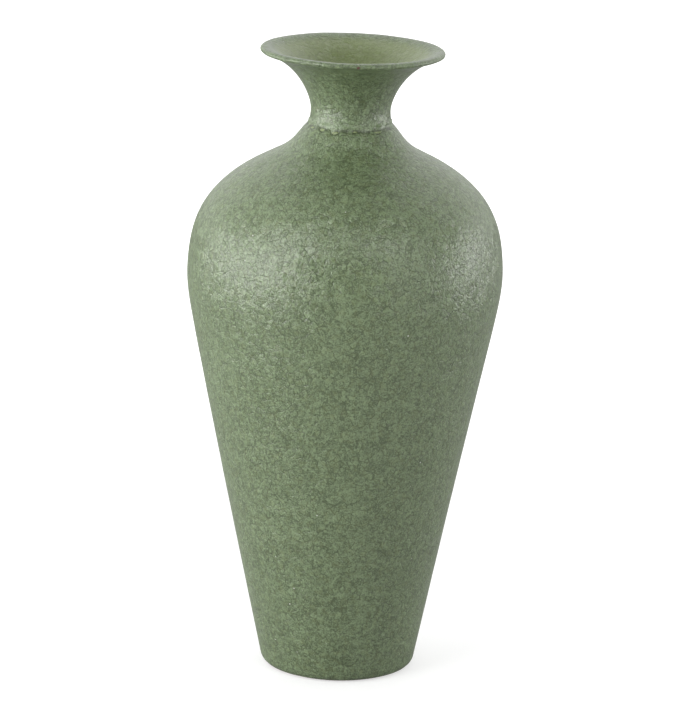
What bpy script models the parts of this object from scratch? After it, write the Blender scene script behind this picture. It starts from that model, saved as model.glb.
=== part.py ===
"""Stoneware baluster vase, put together from thrown sections the way a potter builds one.

A foot slab carries a thrown cone, a thrown dome sits on the cone at the widest ring, and
a trumpet neck sits on the dome. Their keyed rims are luted with slip, coils of clay back
the seams, and one coat of glaze covers the outside and the mouth. The clay is fired into
one rigid vessel, so nothing moves.

Every piece is a closed outline of (radius, height) points, turned around +Z. A path runs
up the outside of the vase, over the lip and down the throat, so the clay is on its left.
All sizes are in metres. The origin is the middle of the foot, on the table.
"""
import math

import bmesh
import bpy

# The glazed surface from the foot up: (radius, height) points, leans towards the axis, and
# the length of each curve's pull at its ends (below and above a point that two curves share)
FOOT_RADIUS = 0.0488
FOOT_EDGE = 0.0070
GLAZE_LINE = 0.0015
CONE_LEAN = math.radians(-11.7)
CONE_TOP = 0.2265
CONE_PULL = 0.0300
BELLY = (0.1118, 0.2865)
BELLY_PULLS = (0.0090, 0.0370)
SADDLE = (0.0553, 0.3741)
SADDLE_LEAN = math.radians(64.7)
SADDLE_PULLS = (0.0550, 0.0180)
COLLAR = (0.0292, 0.3982)
COLLAR_LEAN = math.radians(40.9)
COLLAR_PULL = 0.0140
NECK_FOOT = (0.0286, 0.4002)
NECK_LEAN = math.radians(14.6)
NECK_PULL = 0.0153
FLARE_END = (0.0626, 0.4460)
FLARE_LEAN = math.radians(-76.6)
FLARE_PULL = 0.0228
LIP_REACH = 0.0657
CREST = (0.0616, 0.4500)
GLAZE_END = 0.4030

# Thicknesses, counted from the glazed surface
GLAZE = 0.0005
BODY_WALL = 0.0060
COLLAR_WALL = 0.0040
NECK_WALL = 0.0042

# The foot slab
FLOOR = 0.0100
RECESS_RADIUS = 0.0370
RECESS_DEPTH = 0.0015

# Joints between the sections
GAP = 0.0004
SLIP = 0.0012
KEY_SLOPE = 0.6
NECK_SEAM = 0.3991
NECK_RIM = (0.0268, 0.0250)
NOTCH_HALF = 0.0022
NECK_COIL_HALF = 0.0016
NECK_COIL_BACK = 0.0005
FOOT_COIL = 0.0070
BELLY_COIL_HALF = 0.0070
BELLY_COIL_BULGE = 0.0036

# How finely the round shapes are cut
SEGMENTS = 40
FOOT_STEPS = 3
BELLY_STEPS = 4
DOME_STEPS = 7
HOLLOW_STEPS = 4
NECK_STEPS = 7
LIP_STEPS = 5
COIL_STEPS = 3
SHARP_ANGLE = math.radians(35)

# Colours and roughness
SAGE_GLAZE = ((0.235, 0.285, 0.180), 0.55)
STONEWARE = ((0.300, 0.185, 0.110), 0.85)
COIL_CLAY = ((0.340, 0.220, 0.140), 0.85)
PALE_SLIP = ((0.480, 0.400, 0.300), 0.90)


# Outline tools

def pull(point, lean, distance):
    """The point this far up a line that leans towards the axis by an angle from upright."""
    radius, height = point
    return (radius - math.sin(lean) * distance, height + math.cos(lean) * distance)


def bezier(start, start_pull, end_pull, end, steps):
    """A smooth curve between two points, cut into steps."""
    path = []
    for i in range(steps + 1):
        t = i / steps
        weights = ((1 - t) ** 3, 3 * t * (1 - t) ** 2, 3 * t * t * (1 - t), t ** 3)
        points = (start, start_pull, end_pull, end)
        path.append(tuple(sum(w * p[axis] for w, p in zip(weights, points)) for axis in (0, 1)))
    return path


def arc(centre, radius, first, last, steps):
    """A circular curve from one angle to another, both counted from the outward direction."""
    angles = [first + (last - first) * i / steps for i in range(steps + 1)]
    return [(centre[0] + radius * math.cos(a), centre[1] + radius * math.sin(a)) for a in angles]


def left_of(first, second):
    """The unit direction to the left of the way from one point to another."""
    run = second[0] - first[0]
    rise = second[1] - first[1]
    length = math.hypot(run, rise)
    return (-rise / length, run / length)


def inset(path, depth, end_depth=None):
    """The path moved to its left by a depth, which may change evenly to another depth."""
    if end_depth is None:
        end_depth = depth
    last = len(path) - 1
    moved = []
    for i, (radius, height) in enumerate(path):
        before = left_of(path[max(i, 1) - 1], path[max(i, 1)])
        after = left_of(path[min(i, last - 1)], path[min(i, last - 1) + 1])
        across = (before[0] + after[0], before[1] + after[1])
        shift = depth + (end_depth - depth) * i / last
        shift /= across[0] * before[0] + across[1] * before[1]
        moved.append((radius + across[0] * shift, height + across[1] * shift))
    return moved


def between(path, low, high):
    """The stretch of a path between two heights, with new end points exactly on them."""
    kept = []
    for first, second in zip(path, path[1:] + path[-1:]):
        points = [first]
        for level in sorted((low, high), reverse=second[1] < first[1]):
            if (first[1] - level) * (second[1] - level) < 0:
                share = (level - first[1]) / (second[1] - first[1])
                points.append((first[0] + share * (second[0] - first[0]), level))
        kept += [point for point in points if low <= point[1] <= high]
    return kept


def keyed_rim(outer, inner, height):
    """A rim from its outer edge to its inner edge, raised to a ridge along its middle."""
    ridge = height + KEY_SLOPE * (outer - inner) / 2
    return [(outer, height), ((outer + inner) / 2, ridge), (inner, height)]


# The surfaces of the vase, each as a path

def cone_and_belly():
    """The foot's rounded edge, the straight cone and the curve up to the widest ring."""
    glaze_angle = math.asin((GLAZE_LINE - FOOT_EDGE) / FOOT_EDGE)
    foot = arc((FOOT_RADIUS, FOOT_EDGE), FOOT_EDGE, glaze_angle, CONE_LEAN, FOOT_STEPS)
    cone_length = (CONE_TOP - foot[-1][1]) / math.cos(CONE_LEAN)
    cone_top = pull(foot[-1], CONE_LEAN, cone_length)
    belly = bezier(
        cone_top,
        pull(cone_top, CONE_LEAN, CONE_PULL),
        pull(BELLY, 0, -BELLY_PULLS[0]),
        BELLY,
        BELLY_STEPS,
    )
    return foot + belly


def dome_and_collar():
    """The dome over the widest ring, and the hollow curve up to the neck."""
    dome = bezier(
        BELLY,
        pull(BELLY, 0, BELLY_PULLS[1]),
        pull(SADDLE, SADDLE_LEAN, -SADDLE_PULLS[0]),
        SADDLE,
        DOME_STEPS,
    )
    hollow = bezier(
        SADDLE,
        pull(SADDLE, SADDLE_LEAN, SADDLE_PULLS[1]),
        pull(COLLAR, COLLAR_LEAN, -COLLAR_PULL),
        COLLAR,
        HOLLOW_STEPS,
    )
    return dome + hollow[1:]


def trumpet():
    """The outside of the neck, from its foot to the underside of the lip."""
    return bezier(
        NECK_FOOT,
        pull(NECK_FOOT, NECK_LEAN, NECK_PULL),
        pull(FLARE_END, FLARE_LEAN, -FLARE_PULL),
        FLARE_END,
        NECK_STEPS,
    )


def outside():
    """The whole outside, from the glaze line to the underside of the lip."""
    return cone_and_belly() + dome_and_collar()[1:] + trumpet()


def lip_and_throat():
    """The rounded edge of the mouth, and the inside of the neck down to the seam."""
    lip = bezier(
        FLARE_END,
        pull(FLARE_END, FLARE_LEAN, LIP_REACH - FLARE_END[0]),
        (LIP_REACH, CREST[1]),
        CREST,
        LIP_STEPS,
    )
    throat = inset(trumpet(), NECK_WALL)[::-1]
    return lip[1:] + throat[1:]


def clay_outside():
    """The clay's outer face, behind the glaze, from the foot to the underside of the lip."""
    path = inset(outside() + lip_and_throat(), GLAZE + GAP)
    return path[:len(outside())]


def clay_mouth():
    """The clay's face behind the glaze of the lip and the throat."""
    path = inset(outside() + lip_and_throat(), GLAZE + GAP)
    return path[len(outside()):]


def body_inside(depth=0):
    """The raw inside of the two body sections, or a path this much deeper into the vase."""
    lower = inset(cone_and_belly(), BODY_WALL + depth)
    upper = inset(dome_and_collar(), BODY_WALL + depth, COLLAR_WALL + depth)
    return lower + upper[1:]


# Pieces

def finish(name, colour, roughness):
    """A piece's own material."""
    material = bpy.data.materials.new(name)
    material.use_nodes = True
    shader = material.node_tree.nodes["Principled BSDF"]
    shader.inputs["Base Color"].default_value = (*colour, 1)
    shader.inputs["Roughness"].default_value = roughness
    shader.inputs["Metallic"].default_value = 0
    return material


def ring_of_points(bm, radius, height):
    """The points that an outline's point sweeps, or the one point of an outline on the axis."""
    if radius == 0:
        return [bm.verts.new((0, 0, height))] * SEGMENTS
    angles = [2 * math.pi * i / SEGMENTS for i in range(SEGMENTS)]
    return [bm.verts.new((radius * math.cos(a), radius * math.sin(a), height)) for a in angles]


def turn(name, outline, colour, roughness):
    """Turn a closed outline around +Z into one solid."""
    bm = bmesh.new()
    rings = [ring_of_points(bm, radius, height) for radius, height in outline]
    for ring, following in zip(rings, rings[1:] + rings[:1]):
        if ring[0] is ring[1] and following[0] is following[1]:
            continue
        for i in range(SEGMENTS):
            j = (i + 1) % SEGMENTS
            bm.faces.new(dict.fromkeys((ring[i], ring[j], following[j], following[i])))
    bmesh.ops.recalc_face_normals(bm, faces=bm.faces)
    mesh = bpy.data.meshes.new(name)
    bm.to_mesh(mesh)
    bm.free()
    mesh.shade_smooth()
    mesh.set_sharp_from_angle(angle=SHARP_ANGLE)
    mesh.materials.append(finish(name, colour, roughness))
    bpy.context.collection.objects.link(bpy.data.objects.new(name, mesh))


def seam_levels(seam):
    """A seam's lower rim, the slip's two faces, and the upper rim, as heights."""
    half = SLIP / 2
    return seam - half - GAP, seam - half, seam + half, seam + half + GAP


def radius_at(path, height):
    """A path's radius where it first passes a height."""
    return between(path, height, 1)[0][0]


def foot_slab():
    """The floor of the vase, with a recess that leaves a foot ring, and a keyed rim."""
    top = seam_levels(FLOOR)[0]
    side = between(clay_outside(), 0, top)
    rim = keyed_rim(side[-1][0], radius_at(body_inside(), top), top)
    underside = [
        (0, RECESS_DEPTH),
        (RECESS_RADIUS - RECESS_DEPTH, RECESS_DEPTH),
        (RECESS_RADIUS, 0),
        (FOOT_RADIUS, 0),
    ]
    turn("foot_slab", [*underside, *side[:-1], *rim, (0, top)], *STONEWARE)


def lower_body():
    """The thrown cone, from the foot slab to the widest ring."""
    bottom = seam_levels(FLOOR)[3]
    top = seam_levels(BELLY[1])[0]
    outer = between(clay_outside(), bottom, top)
    inner = between(body_inside(), bottom, top)
    rim = keyed_rim(outer[-1][0], inner[-1][0], top)
    foot = keyed_rim(outer[0][0], inner[0][0], bottom)
    turn("lower_body", [*outer[:-1], *rim, *inner[-2:0:-1], *foot[:0:-1]], *STONEWARE)


def upper_body():
    """The thrown dome, from the widest ring to the notched collar under the neck."""
    bottom = seam_levels(BELLY[1])[3]
    top = seam_levels(NECK_SEAM)[0]
    outer = between(clay_outside(), bottom, NECK_SEAM - NOTCH_HALF)
    inner = between(body_inside(), bottom, top)
    rim = keyed_rim(*NECK_RIM, top)
    foot = keyed_rim(outer[0][0], inner[0][0], bottom)
    turn("upper_body", [*outer, *rim, *inner[:0:-1], *foot[:0:-1]], *STONEWARE)


def neck():
    """The thrown trumpet with its rolled lip, notched around its foot."""
    bottom = seam_levels(NECK_SEAM)[3]
    outer = between(clay_outside(), NECK_SEAM + NOTCH_HALF, 1)
    inner = between(clay_mouth(), bottom + GAP, 1)
    foot = keyed_rim(*NECK_RIM, bottom)
    turn("neck", [*outer, *inner, *foot[::-1]], *STONEWARE)


def glaze_coat():
    """The glaze over the whole outside, the lip and the throat."""
    surface = outside() + between(lip_and_throat(), GLAZE_END, 1)
    turn("glaze_coat", surface + inset(surface, GLAZE)[::-1], *SAGE_GLAZE)


def slip_layer(name, seam, outer_path, inner_path):
    """The slip that lutes a seam's two keyed rims together, as wide as the wall there."""
    faces = [
        keyed_rim(radius_at(outer_path, level), radius_at(inner_path, level), level)
        for level in seam_levels(seam)[1:3]
    ]
    turn(name, faces[0][::-1] + faces[1], *PALE_SLIP)


def foot_inner_coil():
    """A coil pressed into the corner between the floor and the wall."""
    floor = seam_levels(FLOOR)[0] + GAP
    back = between(body_inside(GAP), floor, floor + FOOT_COIL)
    centre = (back[0][0] - FOOT_COIL, floor + FOOT_COIL)
    fillet = arc(centre, FOOT_COIL, math.radians(-10), math.radians(-80), COIL_STEPS)
    turn("foot_inner_coil", [*back, *fillet, (fillet[-1][0], floor)], *COIL_CLAY)


def belly_inner_coil():
    """A coil smoothed over the inside of the seam at the widest ring."""
    low = BELLY[1] - BELLY_COIL_HALF
    high = BELLY[1] + BELLY_COIL_HALF
    back = between(body_inside(GAP), low, high)
    bulge = bezier(
        back[-1],
        (back[-1][0] - BELLY_COIL_BULGE, high),
        (back[0][0] - BELLY_COIL_BULGE, low),
        back[0],
        2 * COIL_STEPS,
    )
    turn("belly_inner_coil", back + bulge[1:-1], *COIL_CLAY)


def neck_seam_coil():
    """The thin coil in the notch around the neck's foot, which shows as a ridge."""
    face = between(clay_outside(), NECK_SEAM - NECK_COIL_HALF, NECK_SEAM + NECK_COIL_HALF)
    back_radius = NECK_RIM[0] + GAP
    back = [
        (back_radius, NECK_SEAM + NECK_COIL_BACK),
        (back_radius, NECK_SEAM - NECK_COIL_BACK),
    ]
    turn("neck_seam_coil", face + back, *COIL_CLAY)


def build():
    """Clear the scene and model every piece."""
    for thing in list(bpy.data.objects):
        bpy.data.objects.remove(thing)
    foot_slab()
    lower_body()
    upper_body()
    neck()
    glaze_coat()
    slip_layer("foot_joint_slip", FLOOR, clay_outside(), body_inside())
    slip_layer("belly_joint_slip", BELLY[1], clay_outside(), body_inside())
    slip_layer("neck_joint_slip", NECK_SEAM, *[[(rim, 0), (rim, CREST[1])] for rim in NECK_RIM])
    foot_inner_coil()
    belly_inner_coil()
    neck_seam_coil()


build()
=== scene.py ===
import math

import bmesh
import bpy
import numpy as np
from mathutils import Matrix, Vector, noise

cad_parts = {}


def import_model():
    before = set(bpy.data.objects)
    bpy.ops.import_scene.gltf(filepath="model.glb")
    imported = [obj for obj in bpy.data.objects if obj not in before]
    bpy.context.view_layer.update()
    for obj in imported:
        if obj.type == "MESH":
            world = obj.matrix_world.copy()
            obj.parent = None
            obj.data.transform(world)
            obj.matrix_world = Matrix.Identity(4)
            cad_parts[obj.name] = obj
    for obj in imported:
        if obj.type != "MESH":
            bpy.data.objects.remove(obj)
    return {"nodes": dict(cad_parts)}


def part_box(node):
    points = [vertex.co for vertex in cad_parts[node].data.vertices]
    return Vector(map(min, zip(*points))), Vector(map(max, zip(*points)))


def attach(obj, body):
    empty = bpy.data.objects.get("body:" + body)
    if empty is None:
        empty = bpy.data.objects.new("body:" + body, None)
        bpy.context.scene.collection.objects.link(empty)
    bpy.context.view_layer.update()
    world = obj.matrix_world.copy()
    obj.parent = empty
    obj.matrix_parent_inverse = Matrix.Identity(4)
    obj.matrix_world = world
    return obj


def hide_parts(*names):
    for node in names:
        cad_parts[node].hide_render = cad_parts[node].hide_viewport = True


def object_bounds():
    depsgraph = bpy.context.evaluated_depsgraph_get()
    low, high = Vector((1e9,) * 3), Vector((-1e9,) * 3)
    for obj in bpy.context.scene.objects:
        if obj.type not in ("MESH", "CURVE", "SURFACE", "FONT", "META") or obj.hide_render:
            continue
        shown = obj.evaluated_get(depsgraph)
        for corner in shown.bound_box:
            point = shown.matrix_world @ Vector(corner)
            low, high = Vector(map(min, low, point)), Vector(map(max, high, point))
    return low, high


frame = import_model()
cad_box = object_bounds()

# Everything is in metres. Each turned piece is rebuilt finely from its CAD section. A potter's
# unevenness then bends all pieces alike, so that they stay nested in one another.
HEIGHT = cad_box[1].z
LIP_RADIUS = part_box("neck")[1].x
LIP_THICKNESS = 0.0045
LIP_FOOT = HEIGHT - LIP_THICKNESS
LIP_OUTSIDE = 0.97 * LIP_RADIUS
SEAM_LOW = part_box("neck_seam_coil")[0].z
SEAM_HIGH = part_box("neck_seam_coil")[1].z
SEAM = (SEAM_LOW + SEAM_HIGH) / 2
TINY = 1e-6

# Mesh density. The back is the glaze coat's side that lies on the clay. Within SEAM_REACH of the
# neck's seam every corner of the CAD section stays a corner.
GLAZE_SEGMENTS = 310
CLAY_SEGMENTS = 144
GLAZE_SPACING = 0.0040
CLAY_SPACING = 0.0026
BACK_SPACING = 0.0075
SLIP_SPACING = 0.0008
COIL_SPACING = 0.0012
RINGS_PER_RADIAN = 5.0
BACK_RINGS_PER_RADIAN = 3.0
SEAM_RINGS = 1800.0
SEAM_REACH = 0.0028
CORNER = math.radians(33)
LONG_CHORD = 0.060
SAMPLE_STEP = 0.0001
SHARP = math.radians(40)

# The potter's hand. The oval, the lobes and their twist over the height, the bow of the axis,
# the tilt of the rim, the spiral of the fingers and the presses on the coils
OVAL = 0.0030
OVAL_TOWARDS = math.radians(35)
THREE_LOBED = 0.0012
LOBE_TWIST = 2.0
BOW = 0.0018
RIM_TILT = math.radians(0.68)
FINGER_PITCH = 0.0085
FINGER_DEPTH = 0.00022
PRESS_DEPTH = 0.0006
PRESSES = 23
PRESS_UNEVEN = 0.6

# The glaze's own relief
SWELL = 0.00007
SWELL_SIZE = 0.014
SWELL_STRETCH = 0.7
SWELL_DETAIL = 0.5
SWELL_DETAIL_SCALE = 2.3
LIP_WANDER = 0.00006
RIDGE_HEIGHT = 0.00055
RIDGE_WIDTH = 0.0009
RIDGE_WANDER = 0.0003
RIDGE_UNEVEN = 0.30
GROOVE_DEPTH = 0.00050
GROOVE_WIDTH = 0.0016
GROOVE_DROP = 0.0030
GROOVE_WANDER = 0.0002
GROOVE_UNEVEN = 0.25
GROOVE_DEEPEST = math.radians(-92)
GROOVE_SWING = 0.4
CHIP_ANGLE = math.radians(-86.5)
CHIP_HEIGHT = HEIGHT - 0.0024
CHIP_RAGGED = 0.25
CHIP_POINTS = 5
CHIP_NARROWING = 0.8
CHIP_EDGE = (-1.15, -0.75)
CHIP_SIZE = 0.0010
CHIP_DEPTH = 0.00045
CHIP_SEGMENTS = 300.0

# The glaze's pattern. A pattern's plain name is its number of features per metre. Widths are
# shares of a cell, ranges are where a noise fades in, and reaches and heights are in metres.
CRACKLE = 220.0
CRACK_BEND = 90.0
CRACK_BEND_REACH = 0.0040
CRACK_BREAKS = 130.0
CRACK_BREAK_RANGE = (0.42, 0.58)
CRACK_WIDTH = 0.09
CRACK_HOLLOW_WIDTH = 0.10
CRACK_DEPTH = 0.00008
FACET_SLOPE = 0.19
HAZE = 16.0
MOTTLE = 400.0
MOTTLE_HEIGHT = 0.00055
GRAIN = 950.0
GRAIN_HEIGHT = 0.00020
FLECKS = 330.0
FLECK_RANGE = (0.56, 0.70)
FLECK_BEND = 200.0
FLECK_BEND_REACH = 0.003
OLIVE_PATCHES = 260.0
OLIVE_RANGE = (0.45, 0.70)
OLIVE_SHARE = 0.20
MOUTH_SHARE = 0.6
# Painted shade in the groove under the neck's seam
GROOVE_SHADE_HEIGHTS = (-0.00035, -0.0001)
GROOVE_SHADE_RANGE = (0.40, 0.62)
GROOVE_SHADE_LEAST = 0.2
# Painted highlight on the ridge over the neck's seam
RIDGE_HIGHLIGHT_HEIGHTS = (0.00015, 0.0004)
RIDGE_HIGHLIGHT_SHARE = 0.5
SPECKS = 240.0
SPECK_RANGE = (0.08, 0.16)
SPECK_GROUPS = 110.0
SPECK_GROUP_RANGE = (0.76, 0.79)

# Its shade: 0 is the deep sage and 1 the pale one
MEAN_SHADE = 0.48
SHADE_BY_HAZE = 0.15
SHADE_BY_FACET = 0.18
SHADE_BY_MOTTLE = 0.74
SHADE_BY_GRAIN = 1.20
SHADE_BY_FLECK = 0.60
SHADE_BY_CRACK = -0.65

# The bare clay's pattern
CLOUDS = 45.0
CLOUD_HEIGHT = 0.00030
GROG = 900.0
FINE_GROG = 1600.0
GROG_HEIGHT = 0.00006
IRON_SPOTS = 320.0
IRON_SPOT_RANGE = (0.10, 0.20)
IRON_SPOT_SHARE = 0.8
IRON_SPOT_BEND = 500.0
IRON_SPOT_BEND_REACH = 0.001
SHADE_BY_CLOUD = 0.8
SHADE_BY_GROG = 0.5

# Surfaces. Colours are linear.
GLAZE_ROUGHNESS = 0.36
GLAZE_UNEVEN_SHINE = 0.06
GLAZE_SHINE = 0.75
STONEWARE_ROUGHNESS = 0.82
COIL_ROUGHNESS = 0.85
SLIP_ROUGHNESS = 0.88
CLAY_UNEVEN_SHINE = 0.08
FLOOR_ROUGHNESS = 0.9
PALE_SAGE = (0.172, 0.232, 0.122, 1)
DEEP_SAGE = (0.068, 0.094, 0.043, 1)
OLIVE = (0.150, 0.172, 0.060, 1)
# The mouth's inner olive: the pooled glaze's hue, made paler by painted light
LIT_MOUTH_OLIVE = (0.215, 0.260, 0.100, 1)
# The painted shade's colour in the seam's groove
GROOVE_SHADE_DARK = (0.045, 0.062, 0.026, 1)
WHITE_SPECK_GLINT = (0.600, 0.620, 0.560, 1)
CHIP_CLAY = (0.075, 0.024, 0.016, 1)
PALE_STONEWARE = (0.360, 0.240, 0.150, 1)
DARK_STONEWARE = (0.210, 0.125, 0.075, 1)
PALE_COIL = (0.400, 0.270, 0.180, 1)
DARK_COIL = (0.260, 0.165, 0.105, 1)
PALE_SLIP = (0.540, 0.460, 0.350, 1)
DARK_SLIP = (0.400, 0.325, 0.235, 1)
IRON_SPOT = (0.060, 0.035, 0.022, 1)

# Studio
FLOOR_SIZE = 40.0
FLOOR_WHITE = (0.480, 0.480, 0.480, 1)
NEAR_GLOW = 1.2
FAR_GLOW = 2.2
GLOW_START = 0.2
GLOW_END = 1.5
FLOOR_FIBRES = 700.0
FIBRE_HEIGHT = 0.00002
ROOM_LIGHT = 1.25
ROOM_DARK_UNTIL = -0.2
ROOM_PALE_FROM = 0.4
SOFTBOX_DISTANCE = 2.2
# Each light's name, azimuth and elevation in degrees, width and height in metres, and watts
LIGHTS = [
    ("key_low", -51, 0, 0.7, 1.1, 26),
    ("key_high", -46, 34, 1.2, 1.0, 22),
    ("wall_left", -88, 5, 1.7, 0.9, 26),
    ("wall_right", 101, 5, 1.7, 0.9, 19),
    ("fill_right", 42, 6, 0.6, 0.9, 6),
    ("fill_high", 36, 36, 0.8, 0.6, 11),
    ("front_high", -4, 44, 1.2, 0.4, 4),
]

# The photograph's camera
LENS = 198.6
CAMERA_PLACE = Vector((0, -2.6976, 0.9295))
CAMERA_PITCH = math.radians(14.56)
CAMERA_ROLL = math.radians(1.53)


# Sections

def section(node):
    """A turned node's outline in the half plane y = 0: (radius, height) points, outside first.

    A ring's outline closes on itself. A disc's begins and ends on the axis."""
    mesh = frame["nodes"][node].data
    places = {}
    number_of = {}
    for vertex in mesh.vertices:
        if abs(vertex.co.y) < TINY and vertex.co.x > -TINY:
            place = (round(abs(vertex.co.x), 6), round(vertex.co.z, 6))
            number_of[vertex.index] = places.setdefault(place, len(places))
    points = list(places)
    links = {number: set() for number in range(len(points))}
    for edge in mesh.edges:
        first, second = (number_of.get(vertex) for vertex in edge.vertices)
        if None not in (first, second) and first != second:
            links[first].add(second)
            links[second].add(first)
    start = min(links, key=lambda number: (len(links[number]), points[number][::-1]))
    order = [start, min(links[start])]
    while len(order) < len(points):
        order.append(next(number for number in links[order[-1]] if number not in order[-2:]))
    outline = np.array([points[number] for number in order])
    if len(links[start]) == 1:
        return np.vstack([(0, outline[0, 1]), outline, (0, outline[-1, 1])])
    radius, height = outline.T
    outer_side_first = np.sum(radius * np.roll(height, -1) - height * np.roll(radius, -1)) > 0
    return outline if outer_side_first else np.roll(outline[::-1], 1, axis=0)


def closes(path):
    """Whether a section is a ring's, which closes on itself. A disc's begins on the axis."""
    return path[0][0] > TINY


def turning(path):
    """The angle that a path turns through at each of its inner points."""
    steps = np.diff(path, axis=0)
    headings = np.unwrap(np.arctan2(steps[:, 1], steps[:, 0]))
    return np.abs(np.diff(headings))


def evenly_by(density, along):
    """Places along a line, as close together as the density, in places per unit, asks."""
    between = (density[1:] + density[:-1]) / 2 * np.diff(along)
    passed = np.concatenate([[0], np.cumsum(between)])
    count = max(int(round(passed[-1])), 1)
    return np.interp(np.linspace(0, passed[-1], count + 1), passed, along)


def spline(path, start_heading, end_heading):
    """A smooth curve through a path's points. A heading, where given, is kept at that end."""
    lengths = np.linalg.norm(np.diff(path, axis=0), axis=1)
    slopes = np.diff(path, axis=0) / lengths[:, None]
    knots = np.concatenate([[0], np.cumsum(lengths)])
    system = np.eye(len(path))
    target = np.zeros((len(path), 2))
    for i in range(1, len(path) - 1):
        system[i, i - 1:i + 2] = lengths[i - 1], 2 * (lengths[i - 1] + lengths[i]), lengths[i]
        target[i] = 6 * (slopes[i] - slopes[i - 1])
    if start_heading is not None:
        system[0, :2] = 2 * lengths[0], lengths[0]
        target[0] = 6 * (slopes[0] - start_heading)
    if end_heading is not None:
        system[-1, -2:] = lengths[-1], 2 * lengths[-1]
        target[-1] = 6 * (end_heading - slopes[-1])
    bends = np.linalg.solve(system, target)
    at = np.linspace(0, knots[-1], max(int(knots[-1] / SAMPLE_STEP), 8))
    span = np.clip(np.searchsorted(knots, at, side="right") - 1, 0, len(lengths) - 1)
    h = lengths[span][:, None]
    right = (at - knots[span])[:, None] / h
    left = 1 - right
    cubic = (left ** 3 - left) * bends[span] + (right ** 3 - right) * bends[span + 1]
    return left * path[span] + right * path[span + 1] + cubic * h * h / 6


def fine_stretch(curve, spacing, rings_per_radian, seam_rings):
    """A smooth curve's rings, closer together where it bends, and near the neck's seam by
    seam_rings per metre."""
    lengths = np.linalg.norm(np.diff(curve, axis=0), axis=1)
    along = np.concatenate([[0], np.cumsum(lengths)])
    bend = np.pad(turning(curve), 1, mode="edge") / lengths.mean()
    density = 1 / spacing + rings_per_radian * bend
    density += seam_rings * hump(curve[:, 1] - SEAM + GROOVE_DROP / 2, GROOVE_DROP)
    places = evenly_by(density, along)
    return np.column_stack([np.interp(places, along, curve[:, axis]) for axis in (0, 1)])


def fine_section(node, spacing):
    """A node's section in smooth stretches, cut at its corners and around its straight sides.

    The rolled lip is round, however sharply the CAD's few points turn there.

    Past its innermost point a section runs down the piece's inner side. The glaze coat's lies
    on the clay there, so it needs few rings."""
    path = section(node)
    closed = closes(path)
    is_glaze = node == "glaze_coat"
    around = np.vstack([path, path[:1]]) if closed else path
    chords = np.diff(around, axis=0)
    lengths = np.linalg.norm(chords, axis=1)
    straight = np.flatnonzero((lengths > LONG_CHORD) | (np.abs(chords[:, 1]) < TINY))
    heading = {i: chords[i] / lengths[i] for i in straight}
    inner_heights = around[1:-1, 1]
    sharp = (turning(around) > CORNER) & (inner_heights < LIP_FOOT)
    near_seam = np.abs(inner_heights - SEAM) < SEAM_REACH
    corners = set(np.flatnonzero(sharp | near_seam) + 1)
    ends = sorted({0, len(around) - 1, *corners, *straight, *(straight + 1)})
    innermost = np.argmin(around[:, 0])
    rings = [around[:1]]
    for first, last in zip(ends, ends[1:]):
        start = None if first in corners else heading.get(first - 1)
        end = None if last in corners else heading.get(last)
        curve = spline(around[first:last + 1], start, end)
        if is_glaze and first > innermost:
            density = (BACK_SPACING, BACK_RINGS_PER_RADIAN, 0)
        else:
            density = (spacing, RINGS_PER_RADIAN, SEAM_RINGS if is_glaze else 0)
        rings.append(fine_stretch(curve, *density)[1:])
    rings = np.vstack(rings)
    return rings[:-1] if closed else rings


# Relief: how far a surface point stands out along its normal, by ring and by angle

def wander(angle, slowest, fastest, seed):
    """A smooth irregular ripple around the vase, about 1 high, with lobes of mixed widths."""
    random = np.random.default_rng(seed)
    lobes = np.arange(slowest, fastest + 1)
    phases = random.uniform(0, math.tau, len(lobes))
    weights = random.uniform(0.4, 1.0, len(lobes))
    waves = np.cos(np.multiply.outer(angle, lobes) + phases) * weights
    return waves.sum(axis=-1) / math.sqrt((weights ** 2).sum() / 2)


def hump(distance, width):
    return np.exp(-((distance / width) ** 2))


def ramp(value, low, high):
    """Rises smoothly from 0 at low to 1 at high."""
    share = np.clip((value - low) / (high - low), 0, 1)
    return share * share * (3 - 2 * share)


def glaze_relief(path, angles):
    """Soft swells, a wavering lip, and the ridge and groove of the neck's seam."""
    height = path[:, 1:]
    outside = np.arange(len(path))[:, None] <= np.argmin(path[:, 0])
    relief = np.array([
        [swell(r * math.cos(a), r * math.sin(a), z) for a in angles] for r, z in path
    ])
    lip_wander = LIP_WANDER * wander(angles, slowest=2, fastest=9, seed=3)
    relief += lip_wander * ramp(height, LIP_FOOT, HEIGHT)
    ridge_at = SEAM + RIDGE_WANDER * wander(angles, slowest=1, fastest=6, seed=5)
    ridge = RIDGE_HEIGHT * (1 + RIDGE_UNEVEN * wander(angles, slowest=6, fastest=24, seed=7))
    groove_wander = GROOVE_WANDER * wander(angles, slowest=5, fastest=20, seed=11)
    groove_at = ridge_at - GROOVE_DROP + groove_wander
    around = (1 - GROOVE_SWING) + GROOVE_SWING * np.cos(angles - GROOVE_DEEPEST)
    groove = GROOVE_DEPTH * around
    groove = groove * (1 + GROOVE_UNEVEN * wander(angles, slowest=5, fastest=24, seed=13))
    relief += ridge * hump(height - ridge_at, RIDGE_WIDTH)
    relief -= groove * hump(height - groove_at, GROOVE_WIDTH)
    return relief * outside


def chipped(path, angles):
    """1 inside the ragged chip at the front of the lip, 0 elsewhere."""
    radius, height = path[:, :1], path[:, 1:]
    sideways = radius * ((angles - CHIP_ANGLE + math.pi) % math.tau - math.pi)
    ragged = 1 + CHIP_RAGGED * np.sin(CHIP_POINTS * np.arctan2(height - CHIP_HEIGHT, sideways))
    off = np.hypot(CHIP_NARROWING * sideways, height - CHIP_HEIGHT) / (CHIP_SIZE * ragged)
    return ramp(-off, *CHIP_EDGE) * (radius > LIP_OUTSIDE)


def swell(x, y, z):
    """The slow unevenness of a poured glaze, a little longer down the wall than around it."""
    place = Vector((x, y, z * SWELL_STRETCH)) / SWELL_SIZE
    detail = SWELL_DETAIL * noise.noise(place * SWELL_DETAIL_SCALE)
    return SWELL * (noise.noise(place) + detail)


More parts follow.
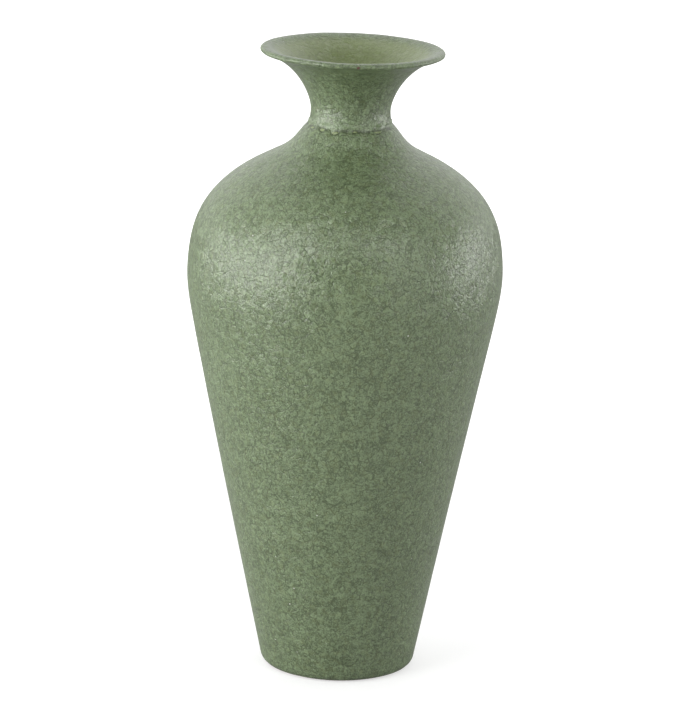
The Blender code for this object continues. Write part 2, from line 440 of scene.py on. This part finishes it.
def in_mouth(path, angles):
    """1 on the mouth's inner side, where the glaze pooled and painted light brightens it, and 0 on
    the lip and outside.
    """
    height = path[:, 1:]
    past_crest = np.arange(len(path))[:, None] > np.argmax(path[:, 1])
    return past_crest * ramp(-height, -HEIGHT, -LIP_FOOT) * np.ones(len(angles))


def throwing_marks(path, angles):
    """The spiral that fingers leave on a thrown wall's inner side. A keyed rim has none."""
    steps = np.linalg.norm(np.diff(path, axis=0), axis=1)
    along = np.concatenate([[0], np.cumsum(steps)])
    inner_start = np.argmax(path[:, 1])
    from_rims = np.minimum(along - along[inner_start], along[-1] - along)
    inside = ramp(from_rims, 2 * FINGER_PITCH, 4 * FINGER_PITCH)[:, None]
    turns = along[:, None] / FINGER_PITCH + angles / math.tau
    return -FINGER_DEPTH * inside * (0.5 + 0.5 * np.cos(math.tau * turns))


def finger_presses(path, angles):
    """Dents where a coil was pressed home, on the side that faces into the vase."""
    radius = path[:, :1]
    exposed = ramp(-radius, -radius.max(), -radius.min())
    drift = PRESS_UNEVEN * wander(angles, slowest=1, fastest=5, seed=17)
    presses = 0.5 + 0.5 * np.cos(PRESSES * angles + drift)
    return -PRESS_DEPTH * exposed * presses


def no_relief(path, angles):
    return np.zeros((len(path), len(angles)))


# Turned meshes

def hand_made(points):
    """Where the potter's hands left these points: a little oval and bowed, the rim off level."""
    x, y, z = points.T
    angle = np.arctan2(y, x)
    oval = OVAL * np.cos(2 * (angle - OVAL_TOWARDS))
    three_lobed = THREE_LOBED * np.cos(3 * angle + LOBE_TWIST * z / HEIGHT)
    grown = 1 + (oval + three_lobed) * ramp(z, 0, HEIGHT)
    tilted = z - x * math.tan(RIM_TILT) * ramp(z, SEAM_HIGH, HEIGHT)
    bowed = x * grown - BOW * np.sin(math.pi * z / HEIGHT)
    return np.column_stack([bowed, y * grown, tilted])


def outward(path):
    """The direction that points out of the piece at each ring of its section."""
    before = np.roll(path, 1, axis=0)
    after = np.roll(path, -1, axis=0)
    if not closes(path):
        before[0] = path[0]
        after[-1] = path[-1]
    along = after - before
    return np.column_stack([along[:, 1], -along[:, 0]]) / np.linalg.norm(along, axis=1)[:, None]


def turned_faces(rings, segments, closed):
    """Quads between neighbouring rings. An open section's ends shrink to a point: fans there."""
    faces = []
    for ring in range(rings if closed else rings - 1):
        above = (ring + 1) % rings
        for j in range(segments):
            k = (j + 1) % segments
            faces.append((ring * segments + j, ring * segments + k,
                          above * segments + k, above * segments + j))
    return faces


def merge_poles(mesh):
    """Joins the points that a section's ends leave on the axis."""
    shape = bmesh.new()
    shape.from_mesh(mesh)
    bmesh.ops.remove_doubles(shape, verts=shape.verts, dist=TINY)
    shape.to_mesh(mesh)
    shape.free()


def turned(name, path, angles, relief, **marks):
    """A piece turned around the vase's axis from its section, with its relief added.

    The relief and any marks are kept on the mesh, where the piece's material reads them."""
    out = outward(path)
    radius = path[:, :1] + out[:, :1] * relief
    height = path[:, 1:] + out[:, 1:] * relief
    points = np.stack([radius * np.cos(angles), radius * np.sin(angles), height], axis=-1)
    points = hand_made(points.reshape(-1, 3))
    closed = closes(path)
    mesh = bpy.data.meshes.new(name)
    mesh.from_pydata(points.tolist(), [], turned_faces(len(path), len(angles), closed))
    for mark, values in {"relief": relief, **marks}.items():
        attribute = mesh.attributes.new(mark, "FLOAT", "POINT")
        attribute.data.foreach_set("value", np.ravel(values).astype(np.float32))
    if not closed:
        merge_poles(mesh)
    mesh.shade_smooth()
    mesh.set_sharp_from_angle(angle=SHARP)
    piece = bpy.data.objects.new(name, mesh)
    bpy.context.scene.collection.objects.link(piece)
    return piece


def even_angles(segments):
    return np.arange(segments) * math.tau / segments


def glaze_angles():
    """Even angles around the vase, with closer ones added across the chip."""
    along = np.linspace(0, math.tau, 20 * GLAZE_SEGMENTS)
    off_chip = (along - CHIP_ANGLE + math.pi) % math.tau - math.pi
    width = 2 * CHIP_SIZE / LIP_RADIUS
    density = GLAZE_SEGMENTS / math.tau + CHIP_SEGMENTS * hump(off_chip, width)
    return evenly_by(density, along)[:-1]


# Materials

class Look:
    """A material under construction. Each call adds a node and returns its output."""

    def __init__(self, name):
        self.material = bpy.data.materials.new(name)
        self.material.use_nodes = True
        self.nodes = self.material.node_tree.nodes
        self.links = self.material.node_tree.links
        self.place = self.node("TexCoord", "Object")

    def feed(self, socket, value):
        if isinstance(value, bpy.types.NodeSocket):
            self.links.new(value, socket)
        else:
            socket.default_value = value

    def node(self, kind, output, inputs=None, **settings):
        node = self.nodes.new("ShaderNode" + kind)
        for setting, value in settings.items():
            setattr(node, setting, value)
        for socket, value in (inputs or {}).items():
            self.feed(node.inputs[socket], value)
        return node.outputs[output]

    def math(self, operation, *values):
        return self.node("Math", 0, dict(enumerate(values)), operation=operation)

    def attribute(self, name):
        return self.node("Attribute", "Fac", attribute_name=name)

    def noise(self, scale, detail=2.0, place=None, output="Fac"):
        inputs = {"Vector": place or self.place, "Scale": scale, "Detail": detail}
        return self.node("TexNoise", output, inputs)

    def cells(self, scale, place, output, feature="F1"):
        inputs = {"Vector": place, "Scale": scale, "Randomness": 0.9}
        return self.node("TexVoronoi", output, inputs, feature=feature)

    def warped(self, scale, reach, place=None):
        """A place moved about by noise, so that straight cracks wander."""
        push = self.noise(scale, 1.0, place, "Color")
        inputs = {0: push, 1: (reach, reach, reach), 2: place or self.place}
        return self.node("VectorMath", 0, inputs, operation="MULTIPLY_ADD")

    def fade(self, value, low, high, start=0.0, end=1.0):
        """start where value is at most low, end where it is at least high, smooth between."""
        inputs = {"Value": value, "From Min": low, "From Max": high, "To Min": start, "To Max": end}
        return self.node("MapRange", "Result", inputs, interpolation_type="SMOOTHSTEP")

    def mix(self, share, first, second):
        return self.node("Mix", 2, {0: share, 6: first, 7: second}, data_type="RGBA")

    def sum(self, *values):
        total = values[0]
        for value in values[1:]:
            total = self.math("ADD", total, value)
        return total

    def around(self, value, reach):
        """Noise between 0 and 1 turned into a change between about -reach and reach."""
        return self.math("MULTIPLY_ADD", value, 2 * reach, -reach)

    def finish(self, colour, roughness, height, **others):
        """Sets the surface. The height, in metres, becomes its bump."""
        surface = self.nodes["Principled BSDF"]
        bump = self.node("Bump", "Normal", {"Height": height, "Strength": 1.0, "Distance": 1.0})
        self.feed(surface.inputs["Base Color"], colour)
        self.feed(surface.inputs["Roughness"], roughness)
        self.feed(surface.inputs["Normal"], bump)
        for socket, value in others.items():
            self.feed(surface.inputs[socket.replace("_", " ")], value)
        return self.material


def facets(look, scale, place, slope):
    """Crazed cells: the way to each one's edge, a tone of its own, and its slightly tilted face."""
    edge = look.cells(scale, place, "Distance", "DISTANCE_TO_EDGE")
    tone = look.cells(scale, place, "Color")
    centre = look.cells(scale, place, "Position")
    lean = look.node("VectorMath", 0, {0: tone, 1: (0.5, 0.5, 0.5)}, operation="SUBTRACT")
    off = look.node("VectorMath", 0, {0: place, 1: centre}, operation="SUBTRACT")
    tilt = look.node("VectorMath", "Value", {0: lean, 1: off}, operation="DOT_PRODUCT")
    return edge, tone, look.math("MULTIPLY", tilt, slope)


def glaze_look():
    """Satin sage glaze: crazed into facets a few millimetres wide, with a fine pebbly grain."""
    look = Look("crazed_sage_glaze")
    bent = look.warped(CRACK_BEND, CRACK_BEND_REACH)
    edge, tone, tilt = facets(look, CRACKLE, bent, FACET_SLOPE)
    haze = look.noise(HAZE, 3.0)
    mottle = look.noise(MOTTLE, 3.0)
    blotches = look.noise(FLECKS, 2.0, look.warped(FLECK_BEND, FLECK_BEND_REACH))
    flecks = look.fade(blotches, *FLECK_RANGE)
    grain = look.noise(GRAIN, 1.0)
    # A crack shows only along part of its length
    broken = look.fade(look.noise(CRACK_BREAKS, 1.0), *CRACK_BREAK_RANGE)
    line = look.math("MULTIPLY", look.fade(edge, 0.0, CRACK_WIDTH, 1.0, 0.0), broken)
    shade = look.sum(
        MEAN_SHADE,
        look.around(haze, SHADE_BY_HAZE),
        look.around(tone, SHADE_BY_FACET),
        look.around(mottle, SHADE_BY_MOTTLE),
        look.around(grain, SHADE_BY_GRAIN),
        look.math("MULTIPLY", flecks, SHADE_BY_FLECK),
        look.math("MULTIPLY", line, SHADE_BY_CRACK),
    )
    colour = look.mix(shade, DEEP_SAGE, PALE_SAGE)
    olive = look.fade(look.noise(OLIVE_PATCHES, 3.0), *OLIVE_RANGE, 0.0, OLIVE_SHARE)
    colour = look.mix(olive, colour, OLIVE)
    # The mouth's inside turns olive where the glaze pooled, and painted light makes it paler
    mouth = look.math("MULTIPLY", look.attribute("mouth"), MOUTH_SHARE)
    colour = look.mix(mouth, colour, LIT_MOUTH_OLIVE)
    # Painted shade darkens the groove under the neck's seam, and a painted highlight makes the ridge
    # over it pale
    relief = look.attribute("relief")
    painted_groove_shade = look.fade(relief, *GROOVE_SHADE_HEIGHTS, 1.0, 0.0)
    patchy = look.fade(mottle, *GROOVE_SHADE_RANGE, 1.0, GROOVE_SHADE_LEAST)
    colour = look.mix(look.math("MULTIPLY", painted_groove_shade, patchy), colour, GROOVE_SHADE_DARK)
    # Painted highlight: the ridge over the seam's groove is made paler
    painted_ridge_highlight = look.fade(relief, *RIDGE_HIGHLIGHT_HEIGHTS, 0.0, RIDGE_HIGHLIGHT_SHARE)
    colour = look.mix(painted_ridge_highlight, colour, PALE_SAGE)
    # Rare white specks: glaze pinholes, with their glints of light painted white
    speck = look.fade(look.cells(SPECKS, look.place, "Distance"), *SPECK_RANGE, 1.0, 0.0)
    rare = look.fade(look.noise(SPECK_GROUPS, 0.0), *SPECK_GROUP_RANGE)
    colour = look.mix(look.math("MULTIPLY", speck, rare), colour, WHITE_SPECK_GLINT)
    colour = look.mix(look.attribute("chip"), colour, CHIP_CLAY)
    roughness = look.sum(
        GLAZE_ROUGHNESS,
        look.around(haze, GLAZE_UNEVEN_SHINE),
        look.around(grain, GLAZE_UNEVEN_SHINE),
    )
    height = look.sum(
        look.fade(edge, 0.0, CRACK_HOLLOW_WIDTH, -CRACK_DEPTH, 0.0),
        tilt,
        look.math("MULTIPLY", mottle, MOTTLE_HEIGHT),
        look.math("MULTIPLY", grain, GRAIN_HEIGHT),
    )
    return look.finish(colour, roughness, height, Specular_IOR_Level=GLAZE_SHINE)


def fired_clay_look(name, pale, dark, roughness, grog):
    """Unglazed clay: speckled with grog, faintly cloudy, and dry to the touch."""
    look = Look(name)
    cloud = look.noise(CLOUDS, 4.0)
    grain = look.noise(grog, 3.0)
    tone = look.sum(0.5, look.around(cloud, SHADE_BY_CLOUD), look.around(grain, SHADE_BY_GROG))
    colour = look.mix(tone, dark, pale)
    bent = look.warped(IRON_SPOT_BEND, IRON_SPOT_BEND_REACH)
    spots = look.cells(IRON_SPOTS, bent, "Distance")
    iron = look.fade(spots, *IRON_SPOT_RANGE, IRON_SPOT_SHARE, 0.0)
    colour = look.mix(iron, colour, IRON_SPOT)
    height = look.sum(
        look.math("MULTIPLY", cloud, CLOUD_HEIGHT),
        look.math("MULTIPLY", grain, GROG_HEIGHT),
    )
    uneven = look.sum(roughness, look.around(grain, CLAY_UNEVEN_SHINE))
    return look.finish(colour, uneven, height)


def floor_look():
    """A white sweep that the camera sees as paper white, but for the vase's faint shadow."""
    look = Look("white_sweep")
    away = look.node("VectorMath", "Value", {0: look.place}, operation="LENGTH")
    seen = look.node("LightPath", "Is Camera Ray")
    brighter = look.fade(away, GLOW_START, GLOW_END, NEAR_GLOW, FAR_GLOW)
    glow = look.math("MULTIPLY", seen, brighter)
    fibre = look.math("MULTIPLY", look.noise(FLOOR_FIBRES), FIBRE_HEIGHT)
    return look.finish(
        FLOOR_WHITE, FLOOR_ROUGHNESS, fibre, Emission_Color=FLOOR_WHITE, Emission_Strength=glow,
    )


# The pieces

def cast(node, name, slot, material, spacing, relief):
    """A clay piece in place of its CAD node."""
    path = fine_section(node, spacing)
    angles = even_angles(CLAY_SEGMENTS)
    piece = turned(name, path, angles, relief(path, angles))
    return place(piece, node, slot, material)


def place(piece, node, slot, material):
    piece.data.materials.append(material)
    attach(piece, "root")
    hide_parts(node)
    return piece


def glaze():
    path = fine_section("glaze_coat", GLAZE_SPACING)
    angles = glaze_angles()
    chip = chipped(path, angles)
    relief = glaze_relief(path, angles) - CHIP_DEPTH * chip
    mouth = in_mouth(path, angles)
    piece = turned("crackled_glaze_coat", path, angles, relief, chip=chip, mouth=mouth)
    return place(piece, "glaze_coat", "glaze", glaze_look())


def clay_pieces():
    stoneware = fired_clay_look(
        "fired_stoneware", PALE_STONEWARE, DARK_STONEWARE, STONEWARE_ROUGHNESS, GROG,
    )
    coil_clay = fired_clay_look("coil_clay", PALE_COIL, DARK_COIL, COIL_ROUGHNESS, GROG)
    slip = fired_clay_look("joining_slip", PALE_SLIP, DARK_SLIP, SLIP_ROUGHNESS, FINE_GROG)
    cast("foot_slab", "foot_slab_turned", "stoneware", stoneware, CLAY_SPACING, no_relief)
    cast("lower_body", "thrown_cone", "stoneware", stoneware, CLAY_SPACING, throwing_marks)
    cast("upper_body", "thrown_dome", "stoneware", stoneware, CLAY_SPACING, throwing_marks)
    cast("neck", "thrown_neck", "stoneware", stoneware, CLAY_SPACING, no_relief)
    for joint in ("foot", "belly", "neck"):
        node = f"{joint}_joint_slip"
        cast(node, f"{joint}_slip_ring", "slip", slip, SLIP_SPACING, no_relief)
    for coil in ("foot_inner", "belly_inner"):
        node = f"{coil}_coil"
        cast(node, f"{coil}_pressed_coil", "coil_clay", coil_clay, COIL_SPACING, finger_presses)
    cast("neck_seam_coil", "neck_seam_pressed_coil", "coil_clay", coil_clay, SLIP_SPACING, no_relief)


# Studio

def floor():
    half = FLOOR_SIZE / 2
    corners = [(-half, -half, 0), (half, -half, 0), (half, half, 0), (-half, half, 0)]
    mesh = bpy.data.meshes.new("studio_floor")
    mesh.from_pydata(corners, [], [(0, 1, 2, 3)])
    sweep = bpy.data.objects.new("studio_floor", mesh)
    bpy.context.scene.collection.objects.link(sweep)
    mesh.materials.append(floor_look())


def world():
    """White behind the vase for the camera. As a light it is a room whose far half is pale."""
    room = bpy.data.worlds.new("white_room")
    room.use_nodes = True
    nodes = room.node_tree.nodes
    link = room.node_tree.links.new
    way = nodes.new("ShaderNodeTexCoord")
    parts = nodes.new("ShaderNodeSeparateXYZ")
    link(way.outputs["Generated"], parts.inputs["Vector"])
    far = nodes.new("ShaderNodeMapRange")
    far.interpolation_type = "SMOOTHSTEP"
    far.inputs["From Min"].default_value = ROOM_DARK_UNTIL
    far.inputs["From Max"].default_value = ROOM_PALE_FROM
    far.inputs["To Max"].default_value = ROOM_LIGHT
    link(parts.outputs["Y"], far.inputs["Value"])
    seen = nodes.new("ShaderNodeLightPath")
    strength = nodes.new("ShaderNodeMix")
    strength.inputs["B"].default_value = 1.0
    link(seen.outputs["Is Camera Ray"], strength.inputs["Factor"])
    link(far.outputs["Result"], strength.inputs["A"])
    link(strength.outputs["Result"], nodes["Background"].inputs["Strength"])
    nodes["Background"].inputs["Color"].default_value = (1, 1, 1, 1)
    bpy.context.scene.world = room


def softbox(name, azimuth, elevation, width, height, power):
    """A soft light aimed at the vase. Azimuth 0 is the camera's side, and 90 is the right."""
    light = bpy.data.lights.new(name, "AREA")
    light.shape = "RECTANGLE"
    light.size = width
    light.size_y = height
    light.energy = power
    turn = math.radians(azimuth)
    rise = math.radians(elevation)
    middle = Vector((0, 0, HEIGHT / 2))
    way = Vector((math.sin(turn) * math.cos(rise), -math.cos(turn) * math.cos(rise), math.sin(rise)))
    lamp = bpy.data.objects.new(name, light)
    lamp.visible_camera = False
    lamp.location = middle + way * SOFTBOX_DISTANCE
    lamp.rotation_euler = way.to_track_quat("Z", "Y").to_euler()
    bpy.context.scene.collection.objects.link(lamp)


def camera():
    """The photograph's camera: far off, a little above the rim, and rolled slightly."""
    lens = bpy.data.cameras.new("studio_camera")
    lens.lens = LENS
    eye = bpy.data.objects.new("studio_camera", lens)
    tilt = Matrix.Rotation(math.radians(90) - CAMERA_PITCH, 4, "X")
    roll = Matrix.Rotation(CAMERA_ROLL, 4, "Z")
    eye.matrix_world = Matrix.Translation(CAMERA_PLACE) @ tilt @ roll
    bpy.context.scene.collection.objects.link(eye)
    bpy.context.scene.camera = eye


glaze()
clay_pieces()
floor()
world()
for light in LIGHTS:
    softbox(*light)
camera()
bpy.context.scene.view_settings.view_transform = "Standard"
